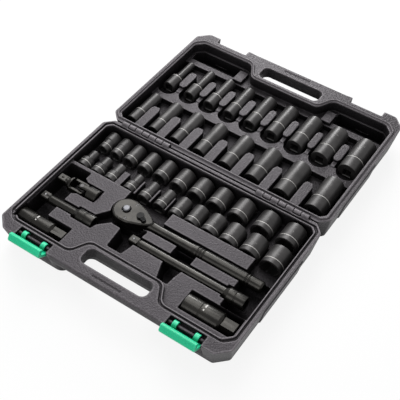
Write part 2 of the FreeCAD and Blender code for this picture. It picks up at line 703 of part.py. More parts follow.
def make_ratchet():
    """Ratchet handle with its cover, screws, gear, pawl, lever and release button."""
    top = half_height - head_top_drop
    low = top - head_thick
    centre = point(ratchet_x, -ratchet_v, 0)
    cover_thick = 2.0
    cover_edge = 1.6
    lever_x = ratchet_x + lever_reach
    bevel = 1.2
    head = Part.makeLoft([head_outline(bevel, low), head_outline(0, low + bevel),
                          head_outline(0, top - bevel), head_outline(bevel, top)], True, True)
    grip_end = ratchet_end - ratchet_x
    rings = []
    for start in (97, 100.5, 104, 159, 162.5):
        rings += [(start, 7.1), (start, 6.4), (start + 1.6, 6.4), (start + 1.6, 7.1)]
    neck = [(17, 7.2), (25, 7.2), (32, 6.8), (40, 6.2), (50, 5.9), (62, 5.9), (90, 6.5), (95, 7.1)]
    handle = turned(neck + rings + [(grip_end - 2, 7.1), (grip_end, 5.6)],
                    point(ratchet_x, -ratchet_v, long_axis_z), along_x)
    body = head.fuse(handle)
    tray = head_plate(cover_edge, top - cover_thick, top + 1)
    gear_room = rod(gear_tip + 0.5, head_thick - 4, centre + along_z * (low + 2.0), along_z)
    drive_hole = rod(7.6, head_thick, centre + along_z * (low - 1), along_z)
    pawl_room = rod(8.2, head_thick - 4, point(lever_x - 2.5, -ratchet_v, low + 2.0), along_z)
    body = body.cut([tray, gear_room, drive_hole, pawl_room])

    cover = head_plate(cover_edge + 0.15, top - cover_thick + 0.05, top)
    holes = [rod(5.4, 6, centre + along_z * (top - 4), along_z),
             rod(3.4, 6, point(lever_x, -ratchet_v, top - 4), along_z)]
    screws = []
    for y in (-1, 1):
        spot = point(ratchet_x + 6.5, -ratchet_v + y * 11.6, 0)
        holes.append(rod(1.75, 6, spot + along_z * (top - 4), along_z))
        screw = rod(1.7, 1.4, spot + along_z * (top - 1.5), along_z)
        shank = rod(1.0, 3.2, spot + along_z * (top - 4.6), along_z)
        cross = slab(-1.3, 1.3, -0.3, 0.3, top - 0.7, top + 1)
        cross.translate(spot)
        screws.append(screw.fuse(shank).cut(cross))
        body = body.cut(rod(1.05, 4, spot + along_z * (top - 4.8), along_z))
    cover = cover.cut(holes)

    gear = Part.Face(Part.makePolygon(spin_ring(gear_teeth, gear_tip, gear_root))).extrude(along_z * 8.6)
    gear.translate(centre + along_z * (low + 2.6))
    journal = rod(7.2, 3.2, centre + along_z * (low - 0.6), along_z)
    stub = square_prism(drive_stub, 11.0, centre + along_z * (low - 0.5), -along_z, 0.7)
    button_hole = rod(2.1, 40, centre + along_z * (low - 20), along_z)
    ball = Part.makeSphere(1.5, point(ratchet_x + drive_stub / 2 - 0.75, -ratchet_v, low - 7.0))
    gear = gear.fuse([journal, stub]).cut(button_hole).cut(ball)
    gear = Part.makeCompound([gear, ball.cut(button_hole)])

    pawl_high = 7.0
    pawl = rod(7.4, pawl_high, point(lever_x - 2.5, -ratchet_v, low + 2.6), along_z)
    pawl = pawl.cut(rod(gear_tip + 0.6, pawl_high + 2, centre + along_z * (low + 1), along_z))
    pawl = pawl.cut(rod(2.3, pawl_high + 2, point(lever_x, -ratchet_v, low + 1), along_z))

    spindle = rod(1.9, 12.5, point(lever_x, -ratchet_v, low + 2.6), along_z)
    disc = rod(3.1, 2.6, point(lever_x, -ratchet_v, top - 1.8), along_z)
    thumb_start = point(lever_x, -ratchet_v, top + 0.4)
    hub = rod(4.4, 2.2, thumb_start, along_z)
    thumb = slab(0, 9.5, -2.6, 2.6, 0, 2.2)
    tip_edges = [e for e in thumb.Edges if e.BoundBox.ZLength > 2 and e.BoundBox.XMin > 9]
    thumb = thumb.makeFillet(1.6, tip_edges)
    thumb.rotate(origin, along_z, -25)
    thumb.translate(thumb_start)
    lever = spindle.fuse([disc, hub, thumb]).removeSplitter()

    button = turned([(0, 1.6), (14.0, 1.6), (14.0, 4.6), (17.6, 4.6), (18.4, 3.9), (18.7, 2.6)],
                    centre + along_z * (low - 1.0), along_z)
    return {"ratchet_body": body.removeSplitter(), "ratchet_cover": cover,
            "cover_screws": Part.makeCompound(screws), "drive_gear": gear, "pawl": pawl,
            "reverse_lever": lever, "release_button": button}


def make_extension(span, v):
    """Extension bar: ball-detent square at the left, socket end at the right."""
    x0, x1 = span
    length = x1 - x0
    start = point(x0, -v, long_axis_z)
    head = 21.0
    bar = turned([(11.0, 5.0), (13.0, 5.6), (length - head - 5, 5.6), (length - head, 8.4),
                  (length - 13, 8.4), (length - 13, 8.0), (length - 11.5, 8.0), (length - 11.5, 8.4),
                  (length - 1, 8.4), (length, 7.6)], start, along_x)
    stub = square_prism(drive_stub, 11.5, start, along_x, 0.8)
    ball = Part.makeSphere(1.6, start + point(5.2, 0, drive_stub / 2 - 0.8))
    hole = square_prism(drive_square, 13, point(x1 + 1, -v, long_axis_z), -along_x)
    return Part.makeCompound([bar.fuse(stub).cut([hole, ball]), ball])


def make_universal_joint():
    """Two forks at right angles on a cross-shaped centre block."""
    middle = point(universal_x, -universal_v, long_axis_z)
    outer = 9.0
    reach = 4.4                   # fork arms past the pin axis
    inner = 5.2                   # joint centre to the inside of an arm
    arm_half = 3.7
    forks = []
    for direction, pin_axis, arm_room, length in ((along_x, along_z, 9.4, universal_socket_reach),
                                                  (-along_x, along_y, 14.0, universal_drive_reach)):
        shank = length - arm_room
        side = direction.cross(pin_axis)
        arms = turned([(0, outer - 1.5), (1.5, outer), (reach + arm_room + 1, outer)],
                      middle - direction * reach, direction)
        profile = [(0, outer), (shank - 1, outer), (shank, outer - 0.8)]
        if direction.x < 0:
            profile = [(0, outer), (2.5, outer), (5.5, 5.6), (shank - 10, 5.6)]
        stem = turned(profile, middle + direction * arm_room, direction)
        turn = FreeCAD.Matrix(direction.x, pin_axis.x, side.x, middle.x,
                              direction.y, pin_axis.y, side.y, middle.y,
                              direction.z, pin_axis.z, side.z, middle.z, 0, 0, 0, 1)
        far = outer + 1
        clear = [slab(-reach - 1, arm_room, -inner, inner, -far, far),
                 slab(-reach - 1, arm_room, -far, far, arm_half, far),
                 slab(-reach - 1, arm_room, -far, far, -far, -arm_half)]
        pin_hole = rod(2.55, 4 * outer, middle - pin_axis * 2 * outer, pin_axis)
        forks.append(arms.fuse(stem).cut([c.transformGeometry(turn) for c in clear] + [pin_hole]))
    hole = square_prism(drive_square, 13, middle + along_x * (universal_socket_reach + 1), -along_x)
    tip = middle - along_x * universal_drive_reach
    stub = square_prism(drive_stub, 12.5, tip, along_x, 0.8)
    ball = Part.makeSphere(1.6, tip + point(5.2, 0, drive_stub / 2 - 0.8))
    drive_fork = Part.makeCompound([forks[1].fuse(stub).cut(ball), ball])
    block = Part.makeBox(8.4, 8.4, 8.4, middle - point(4.2, 4.2, 4.2))
    block = block.common(Part.makeSphere(5.9, middle))
    pins = [rod(2.4, 17.0, middle - axis * 8.5, axis) for axis in (along_y, along_z)]
    block = block.fuse(pins).removeSplitter()
    return {"universal_socket_fork": forks[0].cut(hole), "universal_drive_fork": drive_fork,
            "universal_block": block}


def make_plug_socket(spec):
    """Spark-plug socket: round barrel, hexagonal outside at the drive end, rubber sleeve inside."""
    x, v, hexagon, diameter = spec
    start = point(x, -v, axis_z)
    radius = diameter / 2
    barrel = plug_socket_length - plug_hex_length
    groove = barrel * 0.42
    body = turned([(0, radius - 0.8), (0.8, radius), (groove, radius), (groove, radius - 0.4),
                   (groove + 1.4, radius - 0.4), (groove + 1.4, radius), (barrel - 2.5, radius),
                   (barrel, radius - 2.0)], start, along_x)
    flats = hexagon_prism(diameter * 0.74, plug_hex_length + 1, start + along_x * (barrel - 1), along_x)
    crown = turned([(0, 20), (plug_hex_length - 1, 20), (plug_hex_length, diameter * 0.37)],
                   start + along_x * barrel, along_x)
    crown = crown.fuse(rod(20, 3, start + along_x * (barrel - 2.5), along_x))
    hexagonal = flats.common(crown)
    mouth = hexagon_prism(hexagon + 0.2, 18, start - along_x, along_x)
    bore = rod(hexagon * 0.46, barrel - 6, start, along_x)
    drive = square_prism(drive_square, 12, start + along_x * (plug_socket_length + 1), -along_x)
    body = body.fuse(hexagonal).cut([mouth, bore, drive])
    sleeve = rod(hexagon * 0.46 - 0.1, 14, start + along_x * 20, along_x)
    sleeve = sleeve.cut(rod(hexagon * 0.34, 16, start + along_x * 19, along_x))
    return Part.makeCompound([body.removeSplitter(), sleeve])


def build():
    sockets = row_of_sockets()
    nodes = {"base_shell": make_base(sockets), "lid_shell": make_lid(sockets)}
    nodes["hinge_pins"] = make_hinge_pins()
    nodes["latch_left"] = make_latch(-1)
    nodes["latch_right"] = make_latch(1)
    for name, size, deep, x, y, direction, _ in sockets:
        nodes[name] = socket_solid(size, deep, x, y, direction)
    nodes.update(make_ratchet())
    nodes["extension_long"] = make_extension(long_extension, extension_v)
    nodes["extension_short"] = make_extension(short_extension, short_extension_v)
    nodes.update(make_universal_joint())
    nodes["spark_plug_socket_16mm"] = make_plug_socket(plug_socket_left)
    nodes["spark_plug_socket_21mm"] = make_plug_socket(plug_socket_right)
    return nodes


def export(nodes):
    """Puts the middle of the footprint at the origin and writes one file per piece."""
    os.makedirs("parts", exist_ok=True)
    boxes = [shape.optimalBoundingBox(False) for shape in nodes.values()]
    shift = -(min(b.YMin for b in boxes) + max(b.YMax for b in boxes)) / 2
    for name, shape in nodes.items():
        shape.translate(point(0, shift, 0))
        shape.exportStep(f"parts/{name}.step")
        print(f"{name}: valid {shape.isValid()}, solids {len(shape.Solids)}, volume {shape.Volume:.0f}")
    print(f"{len(nodes)} pieces, hinge line at y = {shift:.4f}")


export(build())
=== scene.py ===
import bmesh
import bpy
import math
from mathutils import Matrix, Vector


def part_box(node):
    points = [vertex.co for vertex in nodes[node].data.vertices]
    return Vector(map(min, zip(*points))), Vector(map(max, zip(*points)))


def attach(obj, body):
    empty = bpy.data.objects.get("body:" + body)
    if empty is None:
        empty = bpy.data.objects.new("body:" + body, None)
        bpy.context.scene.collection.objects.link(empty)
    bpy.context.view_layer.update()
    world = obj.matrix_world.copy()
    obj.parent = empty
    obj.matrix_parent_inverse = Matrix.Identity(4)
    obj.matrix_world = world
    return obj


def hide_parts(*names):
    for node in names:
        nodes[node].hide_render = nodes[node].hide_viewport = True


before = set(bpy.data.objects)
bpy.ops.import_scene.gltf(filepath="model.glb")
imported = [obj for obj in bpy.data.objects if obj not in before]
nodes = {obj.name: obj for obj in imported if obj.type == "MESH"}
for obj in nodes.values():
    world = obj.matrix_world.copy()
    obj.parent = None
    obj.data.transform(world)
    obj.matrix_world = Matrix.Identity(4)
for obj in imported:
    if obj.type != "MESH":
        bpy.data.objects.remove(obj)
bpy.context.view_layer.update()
mm = 0.001


# Node helpers

def newMaterial(name):
    material = bpy.data.materials.new(name)
    material.use_nodes = True
    tree = material.node_tree
    tree.nodes.clear()
    output = tree.nodes.new("ShaderNodeOutputMaterial")
    shader = tree.nodes.new("ShaderNodeBsdfPrincipled")
    tree.links.new(shader.outputs["BSDF"], output.inputs["Surface"])
    return material, tree, shader


def addNode(tree, kind, inputs=None, **settings):
    node = tree.nodes.new("ShaderNode" + kind)
    for key, value in settings.items():
        setattr(node, key, value)
    for key, value in (inputs or {}).items():
        if isinstance(value, bpy.types.NodeSocket):
            tree.links.new(value, node.inputs[key])
        else:
            node.inputs[key].default_value = value
    return node


def noise(tree, place, scale, detail, roughness=0.5):
    return addNode(tree, "TexNoise", {"Vector": place, "Scale": scale, "Detail": detail,
                                      "Roughness": roughness}).outputs["Fac"]


def spread(tree, value, low, high, toLow, toHigh):
    return addNode(tree, "MapRange", {"Value": value, "From Min": low, "From Max": high,
                                      "To Min": toLow, "To Max": toHigh}).outputs["Result"]


def blendColours(tree, factor, first, second):
    mix = addNode(tree, "Mix", data_type="RGBA")
    tree.links.new(factor, mix.inputs["Factor"])
    for socket, value in (("A", first), ("B", second)):
        target = [s for s in mix.inputs if s.name == socket and s.type == "RGBA"][0]
        if isinstance(value, bpy.types.NodeSocket):
            tree.links.new(value, target)
        else:
            target.default_value = (*value, 1.0)
    return [s for s in mix.outputs if s.type == "RGBA"][0]


def bump(tree, height, strength, distance, under=None):
    node = addNode(tree, "Bump", {"Height": height, "Strength": strength, "Distance": distance})
    if under is not None:
        tree.links.new(under, node.inputs["Normal"])
    return node.outputs["Normal"]


# Moulded plastic of the case and the latches

# In both looks, deep is the tone of the grain's pits and also the painted shade in hollows, the hollow range
# sets where that painted shade falls, and edge with its share is a painted highlight on edges
casePlastic = {
    "dark": (0.016, 0.0146, 0.016), "light": (0.030, 0.0272, 0.030), "scuff": (0.085, 0.078, 0.085),
    "deep": (0.008, 0.0074, 0.008), "edge": (0.150, 0.139, 0.148), "edgeShare": (0.30, 1.0),
    "grainScale": 560.0, "grainDepth": 0.00060, "rough": (0.38, 0.52),
    "hollow": (0.40, 0.84), "sheen": (0.03, 0.28), "tint": (1.0, 0.925, 1.0),
}
latchPlastic = {
    "dark": (0.004, 0.60, 0.295), "light": (0.010, 0.70, 0.350), "scuff": (0.08, 0.76, 0.46),
    "deep": (0.002, 0.16, 0.075), "edge": (0.10, 0.80, 0.48), "edgeShare": (0.30, 0.30),
    "grainScale": 1800.0, "grainDepth": 0.00005, "rough": (0.30, 0.42),
    "hollow": (0.10, 0.70), "sheen": (0.10, 0.30), "tint": (1.0, 1.0, 1.0),
}
# The open reach sets the painted shade in hollows; the edge reach, edge range and rim heights set the
# painted edge highlight.
plasticWear = {
    "cloudScale": 28.0, "cloud": (0.3, 0.7), "flow": 0.12, "flowDepth": 0.0006,
    "scratchScale": 340.0, "scratch": (0.66, 0.80), "scratchShare": 0.55,
    "speckShare": 2.2, "speck": (0.3, 0.7), "speckBump": 0.30, "speckDepth": 0.6,
    "pebble": 0.75, "mottle": (0.15, 0.65), "mottleShare": 0.45,
    "openReach": 0.035, "edgeReach": 0.0026, "edge": (0.60, 0.96), "rim": (0.033, 0.038),
}


def mouldedPlastic(name, look):
    material, tree, shader = newMaterial(name)
    wear = plasticWear
    place = addNode(tree, "TexCoord").outputs["Object"]
    cloud = noise(tree, place, wear["cloudScale"], 4.0)
    grain = addNode(tree, "TexVoronoi", {"Vector": place, "Scale": look["grainScale"]},
                    feature="SMOOTH_F1").outputs["Distance"]
    speck = noise(tree, place, look["grainScale"] * wear["speckShare"], 2.0)
    scratch = noise(tree, place, wear["scratchScale"], 6.0, 0.72)

    clouded = spread(tree, cloud, *wear["cloud"], 0.0, 1.0)
    scratched = spread(tree, scratch, *wear["scratch"], 0.0, wear["scratchShare"])
    pitted = spread(tree, grain, *wear["mottle"], wear["mottleShare"], 0.0)
    tone = blendColours(tree, clouded, look["dark"], look["light"])
    worn = blendColours(tree, scratched, tone, look["scuff"])
    mottled = blendColours(tree, pitted, worn, look["deep"])

    # painted shade: hollows found by ambient occlusion are blended toward the deep tone and get less
    # specular; painted highlight: edges at rim height are blended toward the pale edge colour
    openness = addNode(tree, "AmbientOcclusion", {"Distance": wear["openReach"]}, samples=6).outputs["AO"]
    unshadedShare = spread(tree, openness, *look["hollow"], 0.0, 1.0)
    # painted highlight: an inside occlusion test finds convex edges, and those at rim height are blended
    # pale
    inner = addNode(tree, "AmbientOcclusion", {"Distance": wear["edgeReach"]},
                    samples=4, inside=True, only_local=True).outputs["AO"]
    height = addNode(tree, "SeparateXYZ", {"Vector": place}).outputs["Z"]
    rimHighlight = spread(tree, height, *wear["rim"], *look["edgeShare"])
    edge = spread(tree, inner, *wear["edge"], 1.0, 0.0)
    # mask of the painted edge highlight
    rubbed = addNode(tree, "Math", {0: edge, 1: rimHighlight}, operation="MULTIPLY").outputs[0]
    edgeHighlighted = blendColours(tree, rubbed, mottled, look["edge"])

    # base colour: painted shade in hollows, over the painted edge highlight, grain and scuffs
    tree.links.new(blendColours(tree, unshadedShare, look["deep"], edgeHighlighted), shader.inputs["Base Color"])
    tree.links.new(spread(tree, unshadedShare, 0.0, 1.0, *look["sheen"]), shader.inputs["Specular IOR Level"])
    shader.inputs["Specular Tint"].default_value = (*look["tint"], 1.0)
    tree.links.new(spread(tree, speck, *wear["speck"], *look["rough"]), shader.inputs["Roughness"])
    flow = bump(tree, cloud, wear["flow"], wear["flowDepth"])
    pebble = bump(tree, grain, wear["pebble"], look["grainDepth"], flow)
    fine = bump(tree, speck, wear["speckBump"], look["grainDepth"] * wear["speckDepth"], pebble)
    tree.links.new(fine, shader.inputs["Normal"])
    return material


# Blackened and bright steel: the turning marks run across the axis of each tool

blackSteel = {
    "dark": (0.022, 0.0207, 0.0207), "light": (0.046, 0.0436, 0.0436), "rub": (0.085, 0.081, 0.080),
    "rough": (0.32, 0.46), "turning": 550.0, "shine": 0.50,
}
handleSteel = {
    "dark": (0.0095, 0.0088, 0.0078), "light": (0.020, 0.0186, 0.0164), "rub": (0.034, 0.0318, 0.0282),
    "rough": (0.20, 0.30), "turning": 650.0, "shine": 0.46,
}
leverBlack = {
    "dark": (0.006, 0.006, 0.006), "light": (0.012, 0.012, 0.012), "rub": (0.05, 0.05, 0.05),
    "rough": (0.30, 0.42), "turning": 450.0, "shine": 0.08,
}
brightSteel = {
    "dark": (0.17, 0.17, 0.175), "light": (0.27, 0.27, 0.275), "rub": (0.42, 0.42, 0.42),
    "rough": (0.24, 0.38), "turning": 450.0, "shine": 0.5,
}
buttonSteel = {
    "dark": (0.055, 0.056, 0.060), "light": (0.085, 0.086, 0.092), "rub": (0.14, 0.14, 0.15),
    "rough": (0.26, 0.40), "turning": 450.0, "shine": 0.5,
}
steelWear = {
    "cloudScale": 60.0, "cloud": (0.32, 0.68), "rubScale": 420.0, "rub": (0.66, 0.82), "rubShare": 0.5,
    "grainScale": 2400.0, "grain": (0.3, 0.7), "grainBump": 0.06, "grainDepth": 0.00004,
    "waver": 1.5, "markBump": 0.05, "markDepth": 0.00002,
}


def turnedSteel(name, look, axis, metal):
    material, tree, shader = newMaterial(name)
    wear = steelWear
    place = addNode(tree, "TexCoord").outputs["Object"]
    cloud = noise(tree, place, wear["cloudScale"], 5.0, 0.6)
    grain = noise(tree, place, wear["grainScale"], 3.0, 0.6)
    rubbed = noise(tree, place, wear["rubScale"], 6.0, 0.7)
    marks = addNode(tree, "TexWave", {"Vector": place, "Scale": look["turning"], "Detail": 2.0,
                                      "Detail Scale": 3.0, "Distortion": wear["waver"]},
                    wave_type="BANDS", bands_direction=axis).outputs["Fac"]
    clouded = spread(tree, cloud, *wear["cloud"], 0.0, 1.0)
    tone = blendColours(tree, clouded, look["dark"], look["light"])
    worn = blendColours(tree, spread(tree, rubbed, *wear["rub"], 0.0, wear["rubShare"]), tone, look["rub"])
    tree.links.new(worn, shader.inputs["Base Color"])
    tree.links.new(spread(tree, grain, *wear["grain"], *look["rough"]), shader.inputs["Roughness"])
    lathe = bump(tree, marks, wear["markBump"], wear["markDepth"])
    tree.links.new(bump(tree, grain, wear["grainBump"], wear["grainDepth"], lathe), shader.inputs["Normal"])
    shader.inputs["Metallic"].default_value = metal
    shader.inputs["Specular IOR Level"].default_value = look["shine"]
    return material


# Etched marks and rubber: one speckle drives colour, roughness and grain

ringMark = {
    "dark": (0.30, 0.29, 0.28), "light": (0.52, 0.51, 0.49), "speckScale": 3000.0, "detail": 3.0,
    "rough": (0.45, 0.65), "grain": 0.2, "grainDepth": 0.00003, "metal": 0.3,
}
numberMark = {
    "dark": (0.07, 0.068, 0.066), "light": (0.15, 0.146, 0.142), "speckScale": 3000.0, "detail": 3.0,
    "rough": (0.45, 0.65), "grain": 0.2, "grainDepth": 0.00003, "metal": 0.3,
}
sleeveRubber = {
    "dark": (0.012, 0.012, 0.012), "light": (0.03, 0.03, 0.03), "speckScale": 500.0, "detail": 4.0,
    "rough": (0.7, 0.85), "grain": 0.3, "grainDepth": 0.0001, "metal": 0.0,
}
speckRange = (0.3, 0.7)


def speckledFinish(name, look):
    material, tree, shader = newMaterial(name)
    place = addNode(tree, "TexCoord").outputs["Object"]
    speck = noise(tree, place, look["speckScale"], look["detail"])
    tree.links.new(blendColours(tree, speck, look["dark"], look["light"]), shader.inputs["Base Color"])
    tree.links.new(spread(tree, speck, *speckRange, *look["rough"]), shader.inputs["Roughness"])
    tree.links.new(bump(tree, speck, look["grain"], look["grainDepth"]), shader.inputs["Normal"])
    shader.inputs["Metallic"].default_value = look["metal"]
    return material


finishes = {
    "case": mouldedPlastic("charcoalPlastic", casePlastic),
    "latch": mouldedPlastic("greenPlastic", latchPlastic),
    "socket": turnedSteel("blackSocketSteel", blackSteel, "Y", 0.5),
    "bar": turnedSteel("blackBarSteel", handleSteel, "X", 0.75),
    "head": turnedSteel("blackHeadSteel", handleSteel, "DIAGONAL", 0.75),
    "bright": turnedSteel("brightSteel", brightSteel, "Z", 1.0),
    "button": turnedSteel("buttonSteel", buttonSteel, "Z", 1.0),
    "lever": turnedSteel("leverBlack", leverBlack, "Z", 0.3),
    "mark": speckledFinish("etchedRing", ringMark),
    "number": speckledFinish("etchedNumber", numberMark),
    "rubber": speckledFinish("rubberSleeve", sleeveRubber),
}
print("materials ready:", len(finishes))


def placePiece(name, mesh, body, replaced, materials):
    piece = bpy.data.objects.new(name, mesh)
    bpy.context.scene.collection.objects.link(piece)
    for material in materials:
        mesh.materials.append(finishes[material])
    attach(piece, body)
    if replaced:
        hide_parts(replaced)


# Two outlines of the mouldings are refined in their copies: the lid's tongues get parallel sides,
# and the seal gets an even width round the handle bay. Millimetres, with v counted from the hinge line

tongueLook = {
    "wall": 8.0, "ends": (51.0, 54.0), "taper": 2.8, "nip": 2.0,       # as the solid has them
    "half": 6.2, "newEnds": (48.0, 53.0), "chamfer": 2.4, "free": 1.2,
    "reach": (8.5, 54.3), "levels": (17.8, 34.2), "lead": 2.0, "slack": 0.2,
}
bendLook = {
    "outer": (61.0, 186.0), "inner": (49.0, 163.5), "radius": 11.0, "seal": (1.0, 4.5), "level": 37.0,
}
mouldingSides = {"base_shell": -1, "lid_shell": 1}
hingeY = sum(c.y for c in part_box("hinge_pins")) / 2


def tongueSpans():
    row = [n for n in nodes if n.startswith("deep_socket_") and n.endswith("mm")]
    row.sort(key=lambda n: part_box(n)[0].x)
    for first, second in zip(row, row[1:]):
        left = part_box(first)[1].x / mm
        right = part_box(second)[0].x / mm
        yield (left + right) / 2, (right - left) / 2 - tongueLook["free"]


def levelTongue(spot, middle, root):
    x, v, z = spot
    wall = tongueLook["wall"]
    first, last = tongueLook["ends"]
    newFirst, newLast = tongueLook["newEnds"]
    wide = root - tongueLook["taper"] * min(1.0, (v - wall) / (first - wall))
    half = min(tongueLook["half"], root)
    if v > first - tongueLook["lead"]:
        share = max(0.0, (v - first) / (last - first))
        wide -= tongueLook["nip"] * share
        half -= tongueLook["chamfer"] * share
        v = newFirst + (newLast - newFirst) * share + min(0.0, v - first)
    return Vector((middle + (x - middle) * half / wide, v, z))


def bendLine(x):
    (x1, v1), (x0, v0) = bendLook["outer"], bendLook["inner"]
    radius = bendLook["radius"]
    slope = (v1 - v0) / (x1 - x0)
    reach = radius * math.tan(math.atan(slope) / 2)
    away = reach * math.cos(math.atan(slope))
    if abs(x - (x0 + x1) / 2) > (x1 - x0) / 2 + reach:
        return None
    if x > x1 - away:
        return v1 - radius + math.sqrt(max(0.0, radius ** 2 - (x - x1 - reach) ** 2))
    if x < x0 + away:
        return v0 + radius - math.sqrt(max(0.0, radius ** 2 - (x - x0 + reach) ** 2))
    return v0 + (x - x0) * slope


def evenSeal(spot):
    x, v, z = spot
    line = bendLine(abs(x))
    nearest, farthest = bendLook["seal"]
    if line is None or not nearest < v - line < farthest:
        return spot
    run = bendLook["outer"][0] - bendLook["inner"][0]
    rise = bendLook["outer"][1] - bendLook["inner"][1]
    lean = (v - line) * (math.hypot(run, rise) - run) / rise
    return Vector((x - math.copysign(lean, x), v, z))


def refineMoulding(mesh, side):
    spans = list(tongueSpans()) if side > 0 else []
    near, far = tongueLook["reach"]
    lowest, highest = tongueLook["levels"]
    for vertex in mesh.vertices:
        spot = Vector((vertex.co.x, (vertex.co.y - hingeY) * side, vertex.co.z)) / mm
        if spot.z > bendLook["level"]:
            spot = evenSeal(spot)
        elif near < spot.y < far and lowest < spot.z < highest:
            for middle, root in spans:
                if abs(spot.x - middle) < root + tongueLook["slack"]:
                    spot = levelTongue(spot, middle, root)
                    break
        vertex.co = Vector((spot.x, spot.y * side + hingeY / mm, spot.z)) * mm


# Soft-edged copies of the moulded and forged pieces: voxel size in millimetres, smoothing passes,
# share of faces kept

softPieces = {
    "base_shell": {"name": "baseMoulding", "body": "base", "slot": "case_plastic", "finish": "case",
                   "voxel": 0.6, "passes": 3, "keep": 0.14},
    "lid_shell": {"name": "lidMoulding", "body": "lid", "slot": "case_plastic", "finish": "case",
                  "voxel": 0.6, "passes": 3, "keep": 0.14},
    "latch_left": {"name": "latchLeft", "body": "latch_left", "slot": "latch_plastic", "finish": "latch",
                   "voxel": 0.4, "passes": 6, "keep": 0.3},
    "latch_right": {"name": "latchRight", "body": "latch_right", "slot": "latch_plastic", "finish": "latch",
                    "voxel": 0.4, "passes": 6, "keep": 0.3},
    "ratchet_body": {"name": "ratchetBody", "body": "ratchet", "slot": "black_steel", "finish": "bar",
                     "voxel": 0.4, "passes": 4, "keep": 0.3},
    "ratchet_cover": {"name": "ratchetCover", "body": "ratchet", "slot": "black_steel", "finish": "head",
                      "voxel": 0.3, "passes": 2, "keep": 0.3},
    "reverse_lever": {"name": "reverseLever", "body": "ratchet_lever", "slot": "black_steel",
                      "finish": "lever", "voxel": 0.25, "passes": 3, "keep": 0.3},
    "universal_socket_fork": {"name": "universalSocketFork", "body": "universal_socket_end",
                              "slot": "black_steel", "finish": "bar",
                              "voxel": 0.3, "passes": 3, "keep": 0.3},
    "universal_drive_fork": {"name": "universalDriveFork", "body": "universal_drive_end",
                             "slot": "black_steel", "finish": "bar",
                             "voxel": 0.3, "passes": 3, "keep": 0.3},
}
softening = {"weld": 1e-6, "smooth": 0.5, "levelWeight": 80}


def softCopy(node, look):
    mesh = nodes[node].data.copy()
    if node in mouldingSides:
        refineMoulding(mesh, mouldingSides[node])
    welded = bmesh.new()
    welded.from_mesh(mesh)
    bmesh.ops.remove_doubles(welded, verts=welded.verts, dist=softening["weld"])
    welded.to_mesh(mesh)
    welded.free()
    shape = bpy.data.objects.new("shaping", mesh)
    bpy.context.scene.collection.objects.link(shape)
    remesh = shape.modifiers.new("remesh", "REMESH")
    remesh.mode = "VOXEL"
    remesh.voxel_size = look["voxel"] * mm
    remesh.use_smooth_shade = True
    smooth = shape.modifiers.new("smooth", "SMOOTH")
    smooth.factor = softening["smooth"]
    smooth.iterations = look["passes"]
    thin = shape.modifiers.new("thin", "DECIMATE")
    thin.ratio = look["keep"]
    level = shape.modifiers.new("level", "WEIGHTED_NORMAL")
    level.weight = softening["levelWeight"]
    depsgraph = bpy.context.evaluated_depsgraph_get()
    result = bpy.data.meshes.new_from_object(shape.evaluated_get(depsgraph))
    bpy.data.objects.remove(shape)
    result.materials.clear()
    print("softened", node, len(result.polygons), "faces")
    return result


for node, look in softPieces.items():
    placePiece(look["name"], softCopy(node, look), look["body"], node, [look["finish"]])
print("soft-edged pieces placed:", len(softPieces))


# Turned tools are skinned over rings along an axis: distance in millimetres, kind, width

ringSteps = 72
sharpAngle = 34.0
stubBevel = 0.8
hexCorner = 0.577      # half the width over corners of a hexagon that is 1 over flats
filletLimit = 0.45     # share of a side that a fillet may take, short of its middle


def ringRadius(kind, size, angle):
    if kind == "hex":
        return size / 2 / math.cos(math.radians(math.degrees(angle) % 60 - 30))
    if kind == "square":
        return size / 2 / max(abs(math.cos(angle)), abs(math.sin(angle)))
    if kind == "stub":      # square with bevelled corners
        flat = size / 2 / max(abs(math.cos(angle)), abs(math.sin(angle)))
        bevel = (size - stubBevel) * math.sqrt(0.5) / math.cos(math.radians(math.degrees(angle) % 90 - 45))
        return min(flat, bevel)
    return size / 2


def ringSpot(start, axis, distance, radius, angle):
    across = Vector((0, 1, 0)) if abs(axis.x) > 0.5 else Vector((1, 0, 0))
    centre = start + axis * distance * mm
    return centre + across * radius * math.cos(angle) + Vector((0, 0, 1)) * radius * math.sin(angle)


def softened(outline, fillet, steps=3):
    points = [Vector(p) for p in outline]
    result = [points[0]]
    for before, corner, after in zip(points, points[1:], points[2:]):
        back = before - corner
        ahead = after - corner
        first = corner + back.normalized() * min(fillet, back.length * filletLimit)
        last = corner + ahead.normalized() * min(fillet, ahead.length * filletLimit)
        for i in range(steps + 1):
            t = i / steps
            result.append(first * (1 - t) ** 2 + corner * 2 * t * (1 - t) + last * t * t)
    return [tuple(p) for p in result + [points[-1]]]


def groovePoints(start, end, radius, depth, edge):
    return [(start, radius), (start + edge, radius - depth), (end - edge, radius - depth), (end, radius)]


def roundRings(curve):
    return [(distance, "round", 2 * radius) for distance, radius in curve]


def skinRows(build, rows, loop, material=0, special=None):
    pairs = list(zip(rows, rows[1:]))
    if loop:
        pairs.append((rows[-1], rows[0]))
    for index, (first, second) in enumerate(pairs):
        for i in range(len(first)):
            k = (i + 1) % len(first)
            face = build.faces.new((first[i], first[k], second[k], second[i]))
            face.material_index = (special or {}).get(index, material)
            face.smooth = True
    if not loop:
        for row in (rows[0], list(reversed(rows[-1]))):
            build.faces.new(row).material_index = material


def addRings(build, rings, start, axis, loop, material=0, special=None):
    rows = []
    for distance, kind, size in rings:
        row = []
        for i in range(ringSteps):
            angle = 2 * math.pi * i / ringSteps
            radius = ringRadius(kind, size, angle) * mm
            row.append(build.verts.new(ringSpot(start, axis, distance, radius, angle)))
        rows.append(row)
    skinRows(build, rows, loop, material, special)


def finishMesh(build, name):
    bmesh.ops.recalc_face_normals(build, faces=build.faces)
    mesh = bpy.data.meshes.new(name)
    build.to_mesh(mesh)
    build.free()
    mesh.set_sharp_from_angle(angle=math.radians(sharpAngle))
    return mesh


# Size numbers, bent round the socket they stand on

numberLook = {"high": 3.4, "thick": 0.05, "curveSteps": 3}


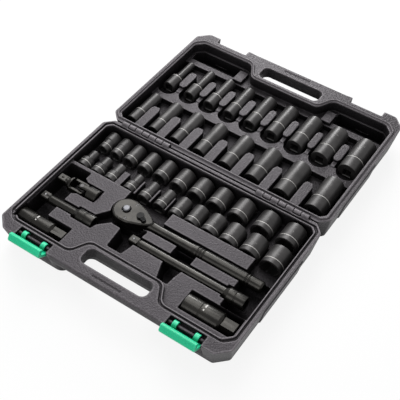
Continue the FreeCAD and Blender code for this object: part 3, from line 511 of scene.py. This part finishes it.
def addNumber(build, text, centre, radius, material):
    curve = bpy.data.curves.new("number", "FONT")
    curve.body = text
    curve.size = numberLook["high"] * mm
    curve.align_x = "CENTER"
    curve.align_y = "CENTER"
    curve.extrude = numberLook["thick"] * mm
    curve.resolution_u = numberLook["curveSteps"]
    carrier = bpy.data.objects.new("number", curve)
    bpy.context.scene.collection.objects.link(carrier)
    depsgraph = bpy.context.evaluated_depsgraph_get()
    flat = bpy.data.meshes.new_from_object(carrier.evaluated_get(depsgraph))
    bpy.data.objects.remove(carrier)
    vertexCount = len(build.verts)
    faceCount = len(build.faces)
    build.from_mesh(flat)
    build.verts.ensure_lookup_table()
    build.faces.ensure_lookup_table()
    for vertex in build.verts[vertexCount:]:
        turn = vertex.co.x / (radius * mm)
        reach = radius * mm + vertex.co.z
        vertex.co = centre + Vector((reach * math.sin(turn), vertex.co.y, reach * math.cos(turn)))
    for face in build.faces[faceCount:]:
        face.material_index = material
    bpy.data.meshes.remove(flat)


# Sockets: outside in millimetres from the drive end

socketLook = {
    "driveSquare": 9.6, "driveDeep": 11.0, "driveLeadIn": 0.7, "driveMouth": 1.0, "driveRim": 2.0,
    "driveStep": 0.1, "fillet": 0.7, "leadIn": 0.9, "hexRoom": 0.15, "mouthRim": 0.35,
    "bore": (0.43, 0.46), "boreCone": 0.6,
    "ringWide": 0.9, "ringDeep": 0.3, "ringEdge": 0.05, "leastStep": 0.2, "shoulder": 1.2,
    "firstRowY": -0.03, "straight": 0.1, "slack": 0.02,
    "shallow": {"nose": (1.2, 4.4), "hexDeep": 12.0, "step": 0.46, "ring": 6.5, "number": 0.5},
    "deep": {"nose": (1.25, 2.2), "hexDeep": 34.0, "step": 0.36, "ring": 18.0, "number": 0.72},
}


def socketSize(node):
    words = node.replace("deep_", "").replace("socket_", "")
    if words.endswith("mm"):
        return float(words[:-2]), words[:-2]
    over, under = words[:-2].split("_")
    return 25.4 * int(over) / int(under), over + "/" + under


def socketInside(look, length, size):
    square = socketLook["driveSquare"]
    driveEnd = socketLook["driveDeep"]
    squareEnd = driveEnd - socketLook["driveStep"]
    hexWide = size + socketLook["hexRoom"]
    hexEnd = length - look["hexDeep"]
    bore = 2 * min(size * socketLook["bore"][0], square * socketLook["bore"][1])
    return [(length - socketLook["leadIn"], "hex", hexWide), (hexEnd, "hex", hexWide),
            (hexEnd - socketLook["boreCone"], "round", bore), (driveEnd, "round", bore),
            (squareEnd, "square", square), (socketLook["driveLeadIn"], "square", square),
            (0.0, "square", square + socketLook["driveMouth"])]


def makeSocket(node):
    low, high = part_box(node)
    deep = node.startswith("deep_")
    look = socketLook["deep" if deep else "shallow"]
    size, label = socketSize(node)
    length = (high.y - low.y) / mm
    drive = (high.x - low.x) / 2 / mm
    share, wall = look["nose"]
    nose = min((share * size + wall) / 2, drive)
    stepped = drive - nose > socketLook["leastStep"]
    step = length * look["step"]

    # the mouths of the first row, and of the wider shallow sockets, face the front
    facesFront = not deep and (high.y > socketLook["firstRowY"] or nose > drive - socketLook["straight"])
    axis = Vector((0, -1 if facesFront else 1, 0))
    start = Vector(((low.x + high.x) / 2, high.y if facesFront else low.y, (low.z + high.z) / 2))
    ring = length - look["ring"] - socketLook["ringWide"] if facesFront else look["ring"]
    ringEnd = ring + socketLook["ringWide"]
    groove = groovePoints(ring, ringEnd, nose if facesFront else drive, socketLook["ringDeep"],
                          socketLook["ringEdge"])
    shoulder = [(step, drive), (step + (drive - nose) * socketLook["shoulder"], nose)] if stepped else []
    outline = [(0.0, drive - socketLook["driveRim"]), (0.0, drive)]
    outline += shoulder + groove if facesFront else groove + shoulder
    outline += [(length, nose), (length, size * hexCorner + socketLook["mouthRim"])]
    curve = softened(outline, socketLook["fillet"])
    etched = {}
    for i, ((first, _), (last, _)) in enumerate(zip(curve, curve[1:])):
        if ring - socketLook["slack"] < first and last < ringEnd + socketLook["slack"]:
            etched[i] = 1

    build = bmesh.new()
    addRings(build, roundRings(curve) + socketInside(look, length, size), start, axis, True, special=etched)
    numberAt = length * look["number"]
    radius = nose if numberAt > step or not stepped else drive
    addNumber(build, label, start + axis * numberAt * mm, radius, 2)
    placePiece(node + "_turned", finishMesh(build, node), node, node,
               ["socket", "mark", "number"])


socketNodes = [n for n in sorted(nodes) if n.startswith(("socket_", "deep_socket_"))]
for node in socketNodes:
    makeSocket(node)
print("sockets turned:", len(socketNodes))


# Extension bars: millimetres from the drive square, or back from the head's end

barLook = {
    "stub": 9.45, "stubLong": 11.0, "stubTip": ((0.0, 2.4), (0.25, 1.4), (0.9, 0.3), (1.4, 0.0)),
    "neck": (11.5, 5.0), "shaft": 11.2, "shaftFrom": 13.5, "taper": 5.0, "fillet": 0.6,
    "head": 16.8, "headLong": 21.0, "groove": (13.0, 11.5), "grooveDeep": 0.4, "grooveEdge": 0.1, "rim": 7.0,
    "hole": 9.6, "holeDeep": 12.0, "holeLeadIn": 0.7, "holeEnd": ((13.0, 5.0), (13.2, 1.0)),
    "ball": 1.6, "ballAt": 5.2, "ballSunk": 0.8,
}


def addBall(build, centre, radius, material):
    ball = bmesh.ops.create_uvsphere(build, u_segments=20, v_segments=12, radius=radius,
                                     matrix=Matrix.Translation(centre))
    for vertex in ball["verts"]:
        for face in vertex.link_faces:
            face.material_index = material
            face.smooth = True


def makeExtension(node):
    look = barLook
    low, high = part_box(node)
    length = (high.x - low.x) / mm
    axis = Vector((1, 0, 0))
    start = Vector((low.x, (low.y + high.y) / 2, (low.z + high.z) / 2))
    shaft = look["shaft"] / 2
    head = look["head"] / 2
    headStart = length - look["headLong"]
    grooveStart, grooveEnd = (length - back for back in look["groove"])
    outline = [look["neck"], (look["shaftFrom"], shaft)]
    outline += [(headStart - look["taper"], shaft), (headStart, head)]
    outline += groovePoints(grooveStart, grooveEnd, head, look["grooveDeep"], look["grooveEdge"])
    outline += [(length, head), (length, look["rim"])]
    rings = [(distance, "stub", look["stub"] - less) for distance, less in look["stubTip"]]
    rings += [(look["stubLong"], "stub", look["stub"])]
    rings += roundRings(softened(outline, look["fillet"]))
    rings += [(length - back, "square", look["hole"]) for back in (look["holeLeadIn"], look["holeDeep"])]
    rings += [(length - back, "round", wide) for back, wide in look["holeEnd"]]
    build = bmesh.new()
    addRings(build, rings, start, axis, False)
    ballSpot = start + Vector((look["ballAt"], 0, look["stub"] / 2 - look["ballSunk"])) * mm
    addBall(build, ballSpot, look["ball"] * mm, 1)
    placePiece(node + "_turned", finishMesh(build, node), node, node, ["bar", "bright"])


for node in ("extension_long", "extension_short"):
    makeExtension(node)
print("extension bars turned")


# Spark-plug sockets: round barrel from the mouth on, hexagonal drive end, sleeve inside

plugLook = {
    "sizes": {"spark_plug_socket_16mm": 16.0, "spark_plug_socket_21mm": 20.8},
    "hexLong": 17.0, "hexShare": 0.74, "hexBevel": (1.0, 1.6), "hexStart": (0.2, 0.3),
    "shoulder": (2.5, 2.2), "fillet": 0.7,
    "groove": 0.42, "grooveWide": 1.4, "grooveDeep": 0.4, "grooveEdge": 0.05,
    "mouthRim": 0.3, "mouthDeep": 17.0, "mouthRoom": 0.2, "mouthCone": 0.5, "leadIn": 0.9,
    "boreShare": 0.92, "boreBack": 6.0,
    "drive": 9.6, "driveDeep": 11.0, "driveLeadIn": 0.7, "driveMouth": 10.6, "driveEnd": (11.4, 8.4),
    "sleeve": (20.0, 34.0), "sleeveShares": (0.90, 0.68),
    "bands": ((62, 84), (96, 104)), "bandAt": 3.5, "bandWide": 1.6,
}
bandLook = {"lift": 0.045, "sunk": -0.06, "edge": 0.05, "degrees": 5}


def addBand(build, start, axis, distance, radius, fromAngle, toAngle, material):
    wide = plugLook["bandWide"]
    lift, sunk, edge = bandLook["lift"], bandLook["sunk"], bandLook["edge"]
    steps = max(2, int(abs(toAngle - fromAngle) / bandLook["degrees"]))
    rims = []
    for along, height in ((0.0, sunk), (edge, lift), (wide - edge, lift), (wide, sunk)):
        rim = []
        for i in range(steps + 1):
            angle = math.radians(fromAngle + (toAngle - fromAngle) * i / steps)
            reach = (radius + height) * mm
            rim.append(build.verts.new(ringSpot(start, axis, distance + along, reach, angle)))
        rims.append(rim)
    for first, second in zip(rims, rims[1:] + rims[:1]):
        for i in range(steps):
            face = build.faces.new((first[i], first[i + 1], second[i + 1], second[i]))
            face.material_index = material
            face.smooth = True
    for end in (0, -1):
        build.faces.new([rim[end] for rim in rims]).material_index = material


def makePlugSocket(node):
    look = plugLook
    size = look["sizes"][node]
    low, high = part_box(node)
    length = (high.x - low.x) / mm
    radius = (high.y - low.y) / 2 / mm
    barrel = length - look["hexLong"]
    groove = barrel * look["groove"]
    grooveEnd = groove + look["grooveWide"]
    flats = 2 * radius * look["hexShare"]
    axis = Vector((1, 0, 0))
    start = Vector((low.x, (low.y + high.y) / 2, (low.z + high.z) / 2))

    outline = [(0.0, size * hexCorner + look["mouthRim"]), (0.0, radius)]
    outline += groovePoints(groove, grooveEnd, radius, look["grooveDeep"], look["grooveEdge"])
    shoulderLong, shoulderDeep = look["shoulder"]
    roundEnd, hexStart = (barrel + past for past in look["hexStart"])
    outline += [(barrel - shoulderLong, radius), (barrel, radius - shoulderDeep), (roundEnd, flats / 2)]
    bevelLong, bevelDeep = look["hexBevel"]
    driveEnd, driveEndWide = look["driveEnd"]
    bore = size * look["boreShare"]
    mouth = size + look["mouthRoom"]
    rings = roundRings(softened(outline, look["fillet"]))
    rings += [(hexStart, "hex", flats), (length - bevelLong, "hex", flats),
              (length, "hex", flats - bevelDeep), (length, "square", look["driveMouth"]),
              (length - look["driveLeadIn"], "square", look["drive"]),
              (length - look["driveDeep"], "square", look["drive"]),
              (length - driveEnd, "round", driveEndWide), (barrel - look["boreBack"], "round", bore),
              (look["mouthDeep"] + look["mouthCone"], "round", bore), (look["mouthDeep"], "hex", mouth),
              (look["leadIn"], "hex", mouth)]
    build = bmesh.new()
    addRings(build, rings, start, axis, True)

    near, far = look["sleeve"]
    outer, inner = (size * share for share in look["sleeveShares"])
    sleeve = [(near, "round", outer), (near, "round", inner), (far, "round", inner), (far, "round", outer)]
    addRings(build, sleeve, start, axis, True, 2)
    for first, last in look["bands"]:
        addBand(build, start, axis, groove + look["bandAt"], radius, first, last, 1)
    placePiece(node + "_turned", finishMesh(build, node), node, node,
               ["bar", "mark", "rubber"])


for node in plugLook["sizes"]:
    makePlugSocket(node)
print("spark-plug sockets turned")


# Release button on the ratchet head: heights counted down from its top

buttonLook = {"stem": 1.6, "stemEnd": 1.2, "cap": 4.6, "capHigh": 4.7, "fillet": 0.5, "steps": 48,
              "dome": ((1.1, 4.6), (0.2, 3.7), (0.0, 1.0))}


def makeButton():
    look = buttonLook
    low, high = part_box("release_button")
    top = (high.z - low.z) / mm
    under = top - look["capHigh"]
    middle = Vector(((low.x + high.x) / 2, (low.y + high.y) / 2, low.z))
    outline = [(0.0, look["stemEnd"]), (0.0, look["stem"]), (under, look["stem"]), (under, look["cap"])]
    outline += [(top - down, radius) for down, radius in look["dome"]]
    build = bmesh.new()
    rows = []
    for height, radius in softened(outline, look["fillet"]):
        row = []
        for i in range(look["steps"]):
            angle = 2 * math.pi * i / look["steps"]
            spot = Vector((radius * math.cos(angle), radius * math.sin(angle), height)) * mm
            row.append(build.verts.new(middle + spot))
        rows.append(row)
    skinRows(build, rows, False)
    placePiece("releaseButton", finishMesh(build, "releaseButton"), "ratchet_button",
               "release_button", ["button"])


makeButton()
print("release button turned")


# Small forms of the mouldings and the lever: ends in millimetres, v counted from the hinge line

detailBlocks = {
    "lidBlockLeft": {"x": (-72, -59), "v": (157, 177), "z": (25.0, 30.5), "round": 0.8},
    "lidBlockRight": {"x": (59, 72), "v": (157, 177), "z": (25.0, 30.5), "round": 0.8},
    "lidLedgeLeft": {"x": (-116, -97), "v": (183.7, 185.0), "z": (11.4, 13.2), "round": 0.3},
    "lidLedgeRight": {"x": (97, 116), "v": (183.7, 185.0), "z": (11.4, 13.2), "round": 0.3},
}
leverLook = {"reach": 19.5, "turn": -25.0, "ridges": (3.6, 5.4, 7.2), "wide": 4.6, "thick": 0.9, "high": 0.7,
             "lift": 0.1, "round": 0.25}


def blockMesh(name, low, high, rounding, turn):
    build = bmesh.new()
    middle = (low + high) / 2
    stretch = Matrix.Diagonal((*(high - low), 1.0))
    bmesh.ops.create_cube(build, size=1.0, matrix=stretch)
    bmesh.ops.bevel(build, geom=build.edges[:], offset=rounding * mm, segments=3, profile=0.5,
                    affect="EDGES")
    bmesh.ops.transform(build, matrix=Matrix.Translation(middle) @ turn, verts=build.verts)
    for face in build.faces:
        face.smooth = True
    return finishMesh(build, name)


def makeLidBlock(name, look):
    low, high = (Vector((look["x"][i] * mm, hingeY + look["v"][i] * mm, look["z"][i] * mm)) for i in (0, 1))
    mesh = blockMesh(name, low, high, look["round"], Matrix.Identity(4))
    placePiece(name, mesh, "lid", None, ["case"])


def makeRidges():
    look = leverLook
    low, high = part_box("release_button")
    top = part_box("reverse_lever")[1].z
    pivot = Vector(((low.x + high.x) / 2 + look["reach"] * mm, (low.y + high.y) / 2, top))
    turn = Matrix.Rotation(math.radians(look["turn"]), 4, "Z")
    half = Vector((look["thick"], look["wide"], look["high"])) * mm / 2
    for index, reach in enumerate(look["ridges"]):
        name = "leverRidge%d" % index
        spot = pivot + turn @ Vector((reach * mm, 0, look["lift"] * mm))
        mesh = blockMesh(name, spot - half, spot + half, look["round"], turn)
        placePiece(name, mesh, "ratchet_lever", None, ["lever"])


for name, look in detailBlocks.items():
    makeLidBlock(name, look)
makeRidges()
print("small forms placed:", len(detailBlocks) + len(leverLook["ridges"]))


# CAD pieces that keep their own shape

keptNodes = {"hinge_pins": "bright", "cover_screws": "socket", "drive_gear": "bright", "pawl": "bright",
             "universal_block": "socket"}
for node, finish in keptNodes.items():
    nodes[node].data.materials.clear()
    nodes[node].data.materials.append(finishes[finish])
print("kept pieces finished:", len(keptNodes))


# Floor and light: what the camera and mirrors see is white, and the floor keeps a share of its shadow

stage = {"floor": 8.0, "floorZ": -0.0004, "floorColour": (0.84, 0.84, 0.84), "shadowShare": 0.12,
         "world": 0.34, "aim": (0, 0, 0.02)}
lamps = {
    "keyPanel": {"place": (-0.62, 0.72, 1.10), "size": 0.9, "power": 16.5},
    "backPanel": {"place": (-0.50, 1.15, 0.56), "size": 0.3, "power": 7.0},
    "topPanel": {"place": (-0.30, 0.10, 1.6), "size": 0.8, "power": 8.0},
    "frontPanel": {"place": (-0.20, -1.3, 0.70), "size": 0.7, "power": 3.6},
}


def seenRay(tree):
    path = addNode(tree, "LightPath").outputs
    seen = addNode(tree, "Math", {0: path["Is Camera Ray"], 1: path["Is Glossy Ray"]}, operation="MAXIMUM")
    seen = addNode(tree, "Math", {0: seen.outputs[0], 1: path["Is Transmission Ray"]}, operation="MAXIMUM")
    return seen.outputs[0]


def makeFloor():
    half = stage["floor"] / 2
    level = stage["floorZ"]
    corners = [(-half, -half, level), (half, -half, level), (half, half, level), (-half, half, level)]
    mesh = bpy.data.meshes.new("floor")
    mesh.from_pydata(corners, [], [(0, 1, 2, 3)])
    floor = bpy.data.objects.new("floor", mesh)
    bpy.context.scene.collection.objects.link(floor)
    material = bpy.data.materials.new("paleFloor")
    material.use_nodes = True
    tree = material.node_tree
    tree.nodes.clear()
    output = tree.nodes.new("ShaderNodeOutputMaterial")
    matte = addNode(tree, "BsdfDiffuse", {"Color": (*stage["floorColour"], 1.0)})
    glow = addNode(tree, "Emission", {"Strength": 1.0})
    share = addNode(tree, "Math", {0: seenRay(tree), 1: 1.0 - stage["shadowShare"]}, operation="MULTIPLY")
    mix = addNode(tree, "MixShader", {0: share.outputs[0], 1: matte.outputs[0], 2: glow.outputs[0]})
    tree.links.new(mix.outputs[0], output.inputs["Surface"])
    mesh.materials.append(material)


def makeWorld():
    world = bpy.data.worlds.new("studio")
    bpy.context.scene.world = world
    world.use_nodes = True
    tree = world.node_tree
    tree.nodes.clear()
    output = tree.nodes.new("ShaderNodeOutputWorld")
    dim = addNode(tree, "Background", {"Color": (1, 1, 1, 1), "Strength": stage["world"]})
    white = addNode(tree, "Background", {"Color": (1, 1, 1, 1), "Strength": 1.0})
    mix = addNode(tree, "MixShader", {0: seenRay(tree), 1: dim.outputs[0], 2: white.outputs[0]})
    tree.links.new(mix.outputs[0], output.inputs["Surface"])


def makeLamps():
    for name, look in lamps.items():
        light = bpy.data.lights.new(name, "AREA")
        light.shape = "SQUARE"
        light.size = look["size"]
        light.energy = look["power"]
        lamp = bpy.data.objects.new(name, light)
        lamp.location = look["place"]
        toObject = Vector(stage["aim"]) - Vector(look["place"])
        lamp.rotation_euler = toObject.to_track_quat("-Z", "Y").to_euler()
        bpy.context.scene.collection.objects.link(lamp)


# Camera, fitted to the photograph

photoView = {"lens": 77.92, "azimuth": 32.42, "elevation": 49.12, "roll": 2.21, "distance": 0.9786,
             "target": (0.01545, -0.043184, 0.040), "sensor": 36.0}


def makeCamera():
    azimuth = math.radians(photoView["azimuth"])
    elevation = math.radians(photoView["elevation"])
    roll = math.radians(photoView["roll"])
    back = Vector((math.sin(azimuth) * math.cos(elevation), -math.cos(azimuth) * math.cos(elevation),
                   math.sin(elevation)))
    right = Vector((math.cos(azimuth), math.sin(azimuth), 0))
    up = back.cross(right)
    tiltRight = right * math.cos(roll) + up * math.sin(roll)
    tiltUp = up * math.cos(roll) - right * math.sin(roll)
    lens = bpy.data.cameras.new("photoCamera")
    lens.lens = photoView["lens"]
    lens.sensor_width = photoView["sensor"]
    camera = bpy.data.objects.new("photoCamera", lens)
    turn = Matrix((tiltRight, tiltUp, back)).transposed().to_4x4()
    place = Vector(photoView["target"]) + back * photoView["distance"]
    camera.matrix_world = Matrix.Translation(place) @ turn
    bpy.context.scene.collection.objects.link(camera)
    bpy.context.scene.camera = camera


makeFloor()
makeWorld()
makeLamps()
makeCamera()
bpy.context.scene.view_settings.view_transform = "Standard"
print("stage, lamps and camera set")
